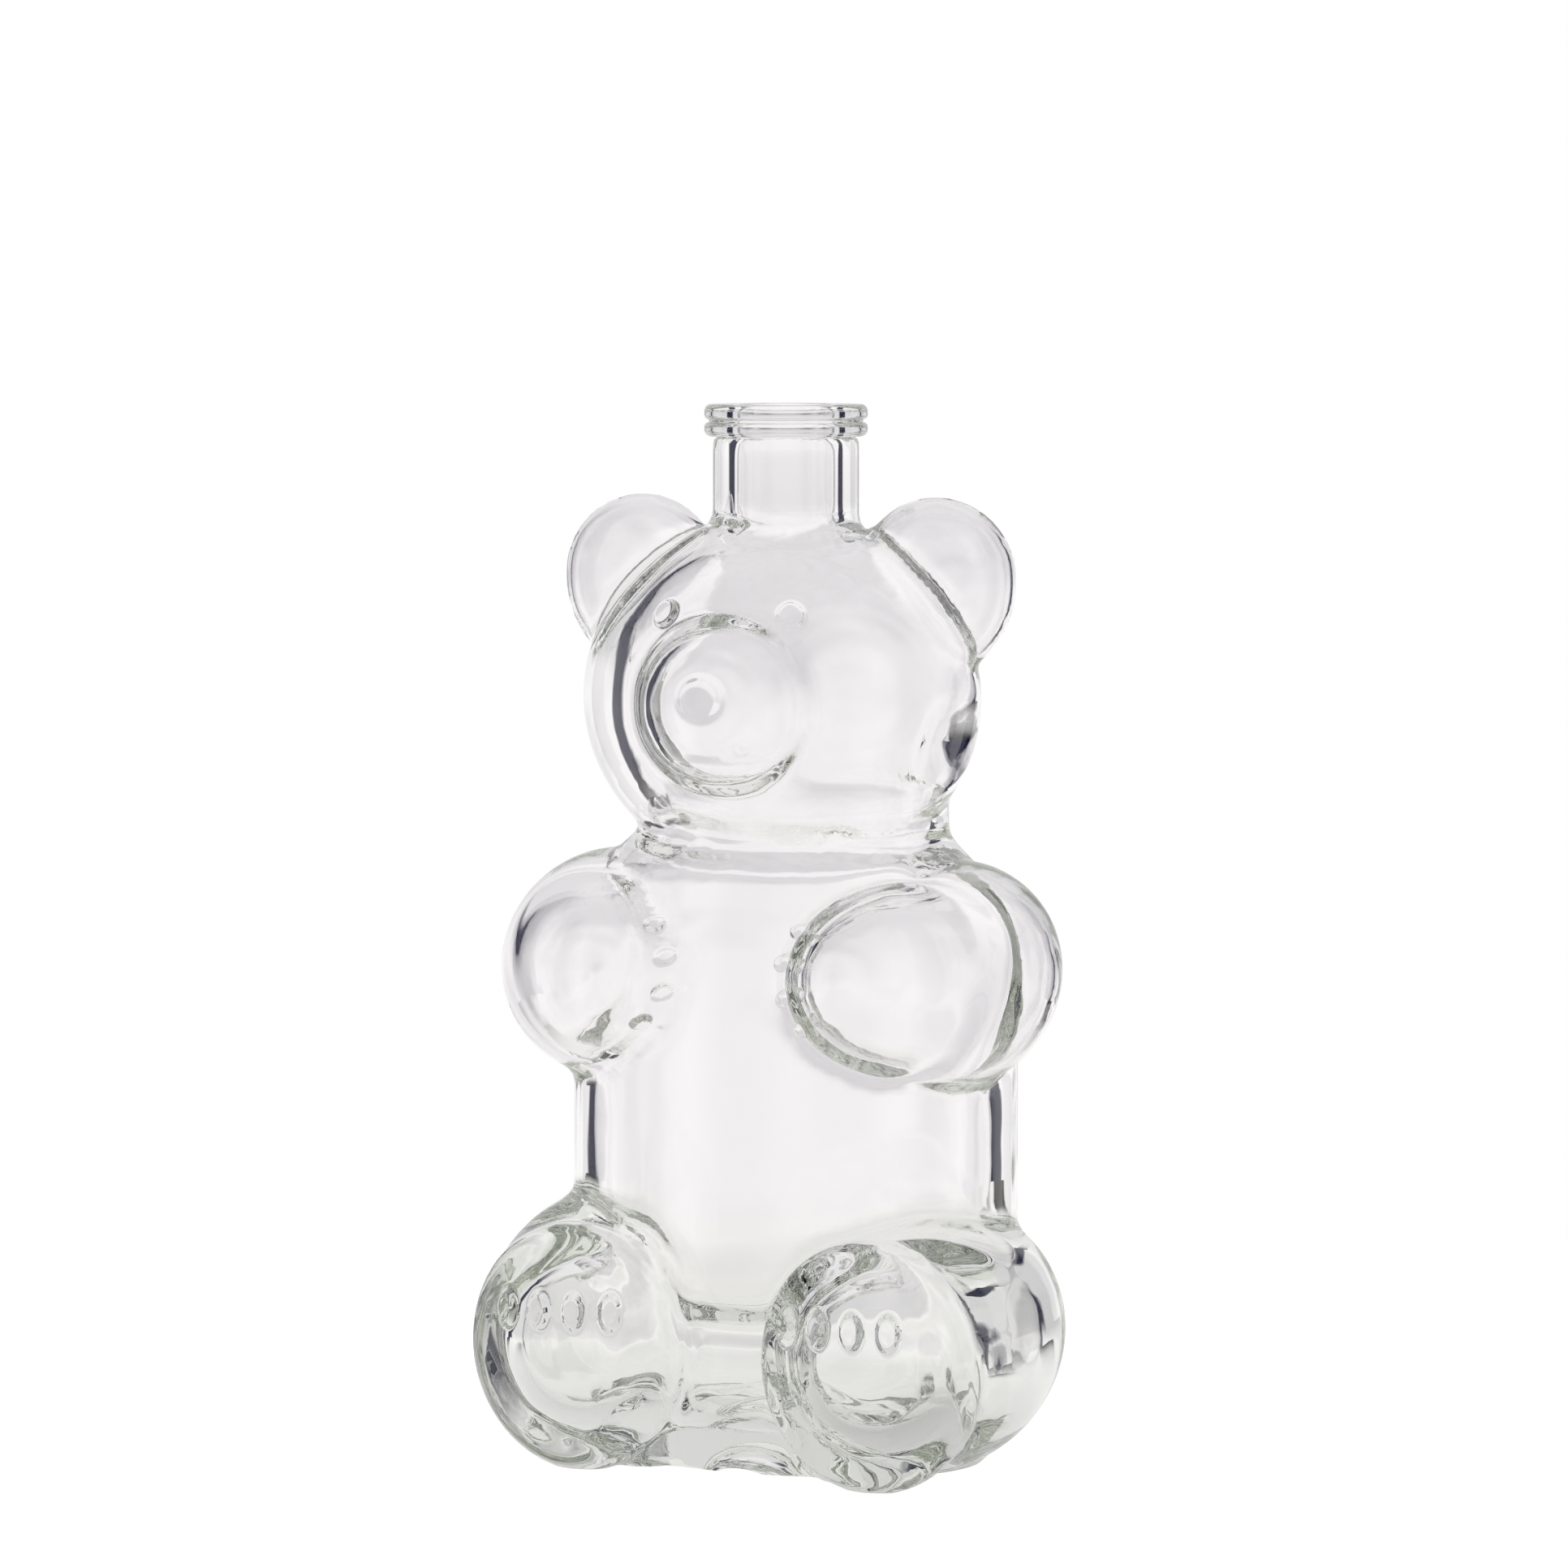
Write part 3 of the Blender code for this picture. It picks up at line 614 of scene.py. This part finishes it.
# %% Glass material
GLASS_INDEX = 1.52
THIN_TINT = (0.998, 0.99, 0.996, 1.0)
THICK_TINT = (0.985, 0.988, 0.974, 1.0)
IRON_TINT = (0.70, 0.75, 0.64, 1.0)
IRON_DENSITY = 6.0
RIPPLE_HEIGHT = 0.0003
THICK_BELOW = 0.075
THICKEST_BELOW = 0.01
glass = bpy.data.materials.new("clear_glass")
glass.use_nodes = True
glass_shader = glass.node_tree.nodes["Principled BSDF"]
shade = Signal(glass.node_tree)
place = shade.node("ShaderNodeTexCoord", output="Object")
height = shade.node("ShaderNodeSeparateXYZ", values={0: place}, output="Z")
cloud = shade.node("ShaderNodeTexNoise", values={"Vector": place, "Scale": 28.0, "Detail": 2.0})
gather = height.ramp(THICK_BELOW, THICKEST_BELOW)
tint = (gather * 0.8 + cloud * 0.2).blend(THIN_TINT, THICK_TINT)
ripples = shade.node("ShaderNodeTexNoise", values={"Vector": place, "Scale": 110.0, "Detail": 1.0})
surface = ripples * (gather * 0.6 + 0.4)
bump = shade.node("ShaderNodeBump", values={"Strength": 0.1, "Distance": RIPPLE_HEIGHT, "Height": surface})
haze = cloud.ramp(0.35, 0.75, 0.0, 0.003)
for socket, signal in (("Base Color", tint), ("Roughness", haze), ("Normal", bump)):
    glass.node_tree.links.new(signal.source.outputs[signal.output], glass_shader.inputs[socket])
glass_shader.inputs["IOR"].default_value = GLASS_INDEX
glass_shader.inputs["Transmission Weight"].default_value = 1.0
depth_tint = shade.node("ShaderNodeVolumeAbsorption", values={"Color": IRON_TINT, "Density": IRON_DENSITY})
output = glass.node_tree.nodes["Material Output"]
glass.node_tree.links.new(depth_tint.source.outputs[0], output.inputs["Volume"])
bear_glass.data.materials.clear()
bear_glass.data.materials.append(glass)
print("glass nodes:", len(glass.node_tree.nodes))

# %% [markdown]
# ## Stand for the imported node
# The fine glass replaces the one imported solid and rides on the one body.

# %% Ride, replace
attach(bear_glass, "root")
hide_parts("glass_bottle")
print("bear_glass stands for glass_bottle")

# %% [markdown]
# ## Camera
# The photograph looks at the bear's left from the front, from a little above its neck, with a long
# lens. The distance and the height were worked out from how the rings of the mouth and the base
# look, and the lens from the object's size.

# %% Camera at the photograph's view
AZIMUTH = math.radians(25.0)
PITCH = math.radians(4.17)
FOCAL_PIXELS = 8276.0
FRAME_PIXELS = 1932.0
NECK_OFFSET_PIXELS = 2.5
DISTANCE = 1.2
CAMERA_HEIGHT = 0.209
SENSOR_WIDTH = 36.0
NEAREST = 0.05
FARTHEST = 20.0
deselect_all()
standpoint = (DISTANCE * math.sin(AZIMUTH), -DISTANCE * math.cos(AZIMUTH), CAMERA_HEIGHT)
bpy.ops.object.camera_add(location=standpoint)
camera = bpy.context.object
camera.data.sensor_width = SENSOR_WIDTH
camera.data.lens = FOCAL_PIXELS / FRAME_PIXELS * SENSOR_WIDTH
camera.data.clip_start = NEAREST
camera.data.clip_end = FARTHEST
heading = AZIMUTH + NECK_OFFSET_PIXELS / FOCAL_PIXELS
aim = Vector((-math.sin(heading) * math.cos(PITCH), math.cos(heading) * math.cos(PITCH), -math.sin(PITCH)))
camera.rotation_euler = aim.to_track_quat("-Z", "Y").to_euler()
bpy.context.scene.camera = camera
print("lens", round(camera.data.lens, 1), "mm")

# %% [markdown]
# ## White panels round the bottle
# Glass is lit by its surroundings. White panels stand round the bottle, and the dark gaps between
# them draw the black lines where its walls turn away. The widest panel is straight behind. The ones
# at the sides and by the camera are greyer, so that their reflections don't veil the glass. The floor
# and the world both use this function: on the table it is painted light, which glows bright where the
# table lies before a panel.


# %% Panels by compass direction
DARK = 0.01
SIDE = 0.12
QUARTER = 0.9
CORNER = 0.25
FRONT = 0.6
PANELS = (
    (0, 1), (38, 1), (41, DARK), (57, DARK), (60, 1), (74, 1), (79, SIDE), (99, SIDE),
    (105, QUARTER), (117, QUARTER), (127, CORNER), (140, CORNER), (154, FRONT), (180, FRONT),
)


def panel_light(signal, parts):
    """How bright the surroundings are in the direction of these X and Y parts."""
    bearing = signal.maths("ARCTAN2", parts.out("X"), parts.out("Y")) + AZIMUTH
    wrapped = signal.node("ShaderNodeMath", {"operation": "WRAP"}, {0: bearing, 1: math.pi, 2: -math.pi})
    turned_away = signal.maths("ABSOLUTE", wrapped) / math.pi
    stops = [(degrees / 180.0, grey) for degrees, grey in PANELS]
    return signal.node("ShaderNodeValToRGB", {"stops": stops}, {0: turned_away})


print(len(PANELS), "stops from straight behind round to the camera")

# %% [markdown]
# ## Floor
# Clear glass shows what is behind and below it, so the floor is part of its look. The camera sees a
# small white round table with the soft shadow of the bottle on it. Rays that come through the glass
# see painted light instead: the table glows for them, with painted light behind the bottle and
# painted shade in front of it, which draws the grey rims of the feet, and at its edge it glows as
# bright as the panels, so no line shows there.

# %% Pale round table
FLOOR_RADIUS = 0.32
FLOOR_GAP = 0.0002
SEEN_GLOW = 0.85
# Painted shade in front of the bottle and painted light behind it, on the table as rays through the glass see
# it.
PAINTED_SHADE_IN_FRONT = 0.2
PAINTED_LIGHT_BEHIND = 0.88
BLACK = (0.0, 0.0, 0.0, 1.0)
WARM_WHITE = (1.0, 0.99, 0.985, 1.0)
deselect_all()
bpy.ops.mesh.primitive_circle_add(
    vertices=FINE_STEPS, radius=FLOOR_RADIUS, fill_type="NGON", location=(0.0, 0.0, -FLOOR_GAP),
)
table = bpy.context.object
table.name = "studio_floor"
paper = bpy.data.materials.new("pale_paper")
paper.use_nodes = True
paper_shader = paper.node_tree.nodes["Principled BSDF"]
sheet = Signal(paper.node_tree)
ray = sheet.node("ShaderNodeLightPath")
spot = sheet.node("ShaderNodeTexCoord", output="Object")
spot_parts = sheet.node("ShaderNodeSeparateXYZ", values={0: spot})
away = sheet.node("ShaderNodeVectorMath", {"operation": "LENGTH"}, {0: spot}, output="Value")
through = sheet.maths("MAXIMUM", ray.out("Is Transmission Ray"), ray.out("Is Glossy Ray"))
far_out = away.ramp(0.08, 0.3)
behind = spot_parts.out("Y") * math.cos(AZIMUTH) - spot_parts.out("X") * math.sin(AZIMUTH)
# Near the bottle, rays through the glass see painted light behind it and painted shade in front of it.
painted_light_and_shade_near = behind.ramp(-0.12, 0.04, PAINTED_SHADE_IN_FRONT, PAINTED_LIGHT_BEHIND)
# Painted light: far out, the table glows with the panels' light, and near the bottle with the painted sweep.
painted_table_light = panel_light(sheet, spot_parts) * far_out + (1 - far_out) * painted_light_and_shade_near
glow = through * painted_table_light + ray.out("Is Camera Ray") * SEEN_GLOW
glow_colour = glow.blend(BLACK, WARM_WHITE)
fibres = sheet.node("ShaderNodeTexNoise", values={"Vector": spot, "Scale": 900.0, "Detail": 3.0})
white = fibres.blend((0.88, 0.88, 0.88, 1.0), (0.92, 0.92, 0.915, 1.0))
tone = through.blend(white, BLACK)
for socket, signal in (("Base Color", tone), ("Emission Color", glow_colour)):
    paper.node_tree.links.new(signal.source.outputs[signal.output], paper_shader.inputs[socket])
paper_shader.inputs["Emission Strength"].default_value = 1.0
paper_shader.inputs["Roughness"].default_value = 0.8
paper_shader.inputs["Specular IOR Level"].default_value = 0.0
table.data.materials.append(paper)
print("table", 2 * FLOOR_RADIUS, "m across")

# %% [markdown]
# ## Studio
# The world holds the panels, so they cost no geometry and cast an even light. They are a little
# greyer above the horizon, which gives the head and the neck their tone, and a broad soft light
# hangs overhead. To the camera itself the background is plain white.

# %% Surroundings as a world
GREY_ABOVE = 0.76
OVERHEAD_LIGHT = 0.9
NIGHT_BLUE = (0.002, 0.002, 0.03, 1.0)
COOL_WHITE = (1.0, 0.985, 0.995, 1.0)
PLAIN_WHITE = (1.0, 1.0, 1.0, 1.0)
world = bpy.data.worlds.new("studio")
bpy.context.scene.world = world
world.use_nodes = True
sky = Signal(world.node_tree)
direction = sky.node("ShaderNodeTexCoord", output="Generated")
split = sky.node("ShaderNodeSeparateXYZ", values={0: direction})
panels = panel_light(sky, split)
elevation = sky.maths("ARCSINE", split.out("Z"))
backdrop = elevation.ramp(math.radians(-6.5), math.radians(1.5), 1.0, GREY_ABOVE)
overhead = elevation.ramp(math.radians(35.0), math.radians(60.0))
brightness = panels * backdrop * (1 - overhead) + overhead * OVERHEAD_LIGHT
light = brightness.blend(NIGHT_BLUE, COOL_WHITE)
seen = sky.node("ShaderNodeLightPath", output="Is Camera Ray").blend(light, PLAIN_WHITE)
background = world.node_tree.nodes["Background"]
world.node_tree.links.new(seen.source.outputs[seen.output], background.inputs["Color"])
background.inputs["Strength"].default_value = 1.0
print("world nodes:", len(world.node_tree.nodes))

# %% [markdown]
# ## Light paths and colour
# Light bounces many times between the two surfaces of a glass wall. With Blender's usual limits such
# paths end in black specks, so the limits are raised. Colours are shown as they are written.

# %% Bounces and view
BOUNCES = 32
cycles = bpy.context.scene.cycles
cycles.max_bounces = BOUNCES
cycles.glossy_bounces = BOUNCES
cycles.transmission_bounces = BOUNCES
bpy.context.scene.view_settings.view_transform = "Standard"
print("bounces", cycles.max_bounces)
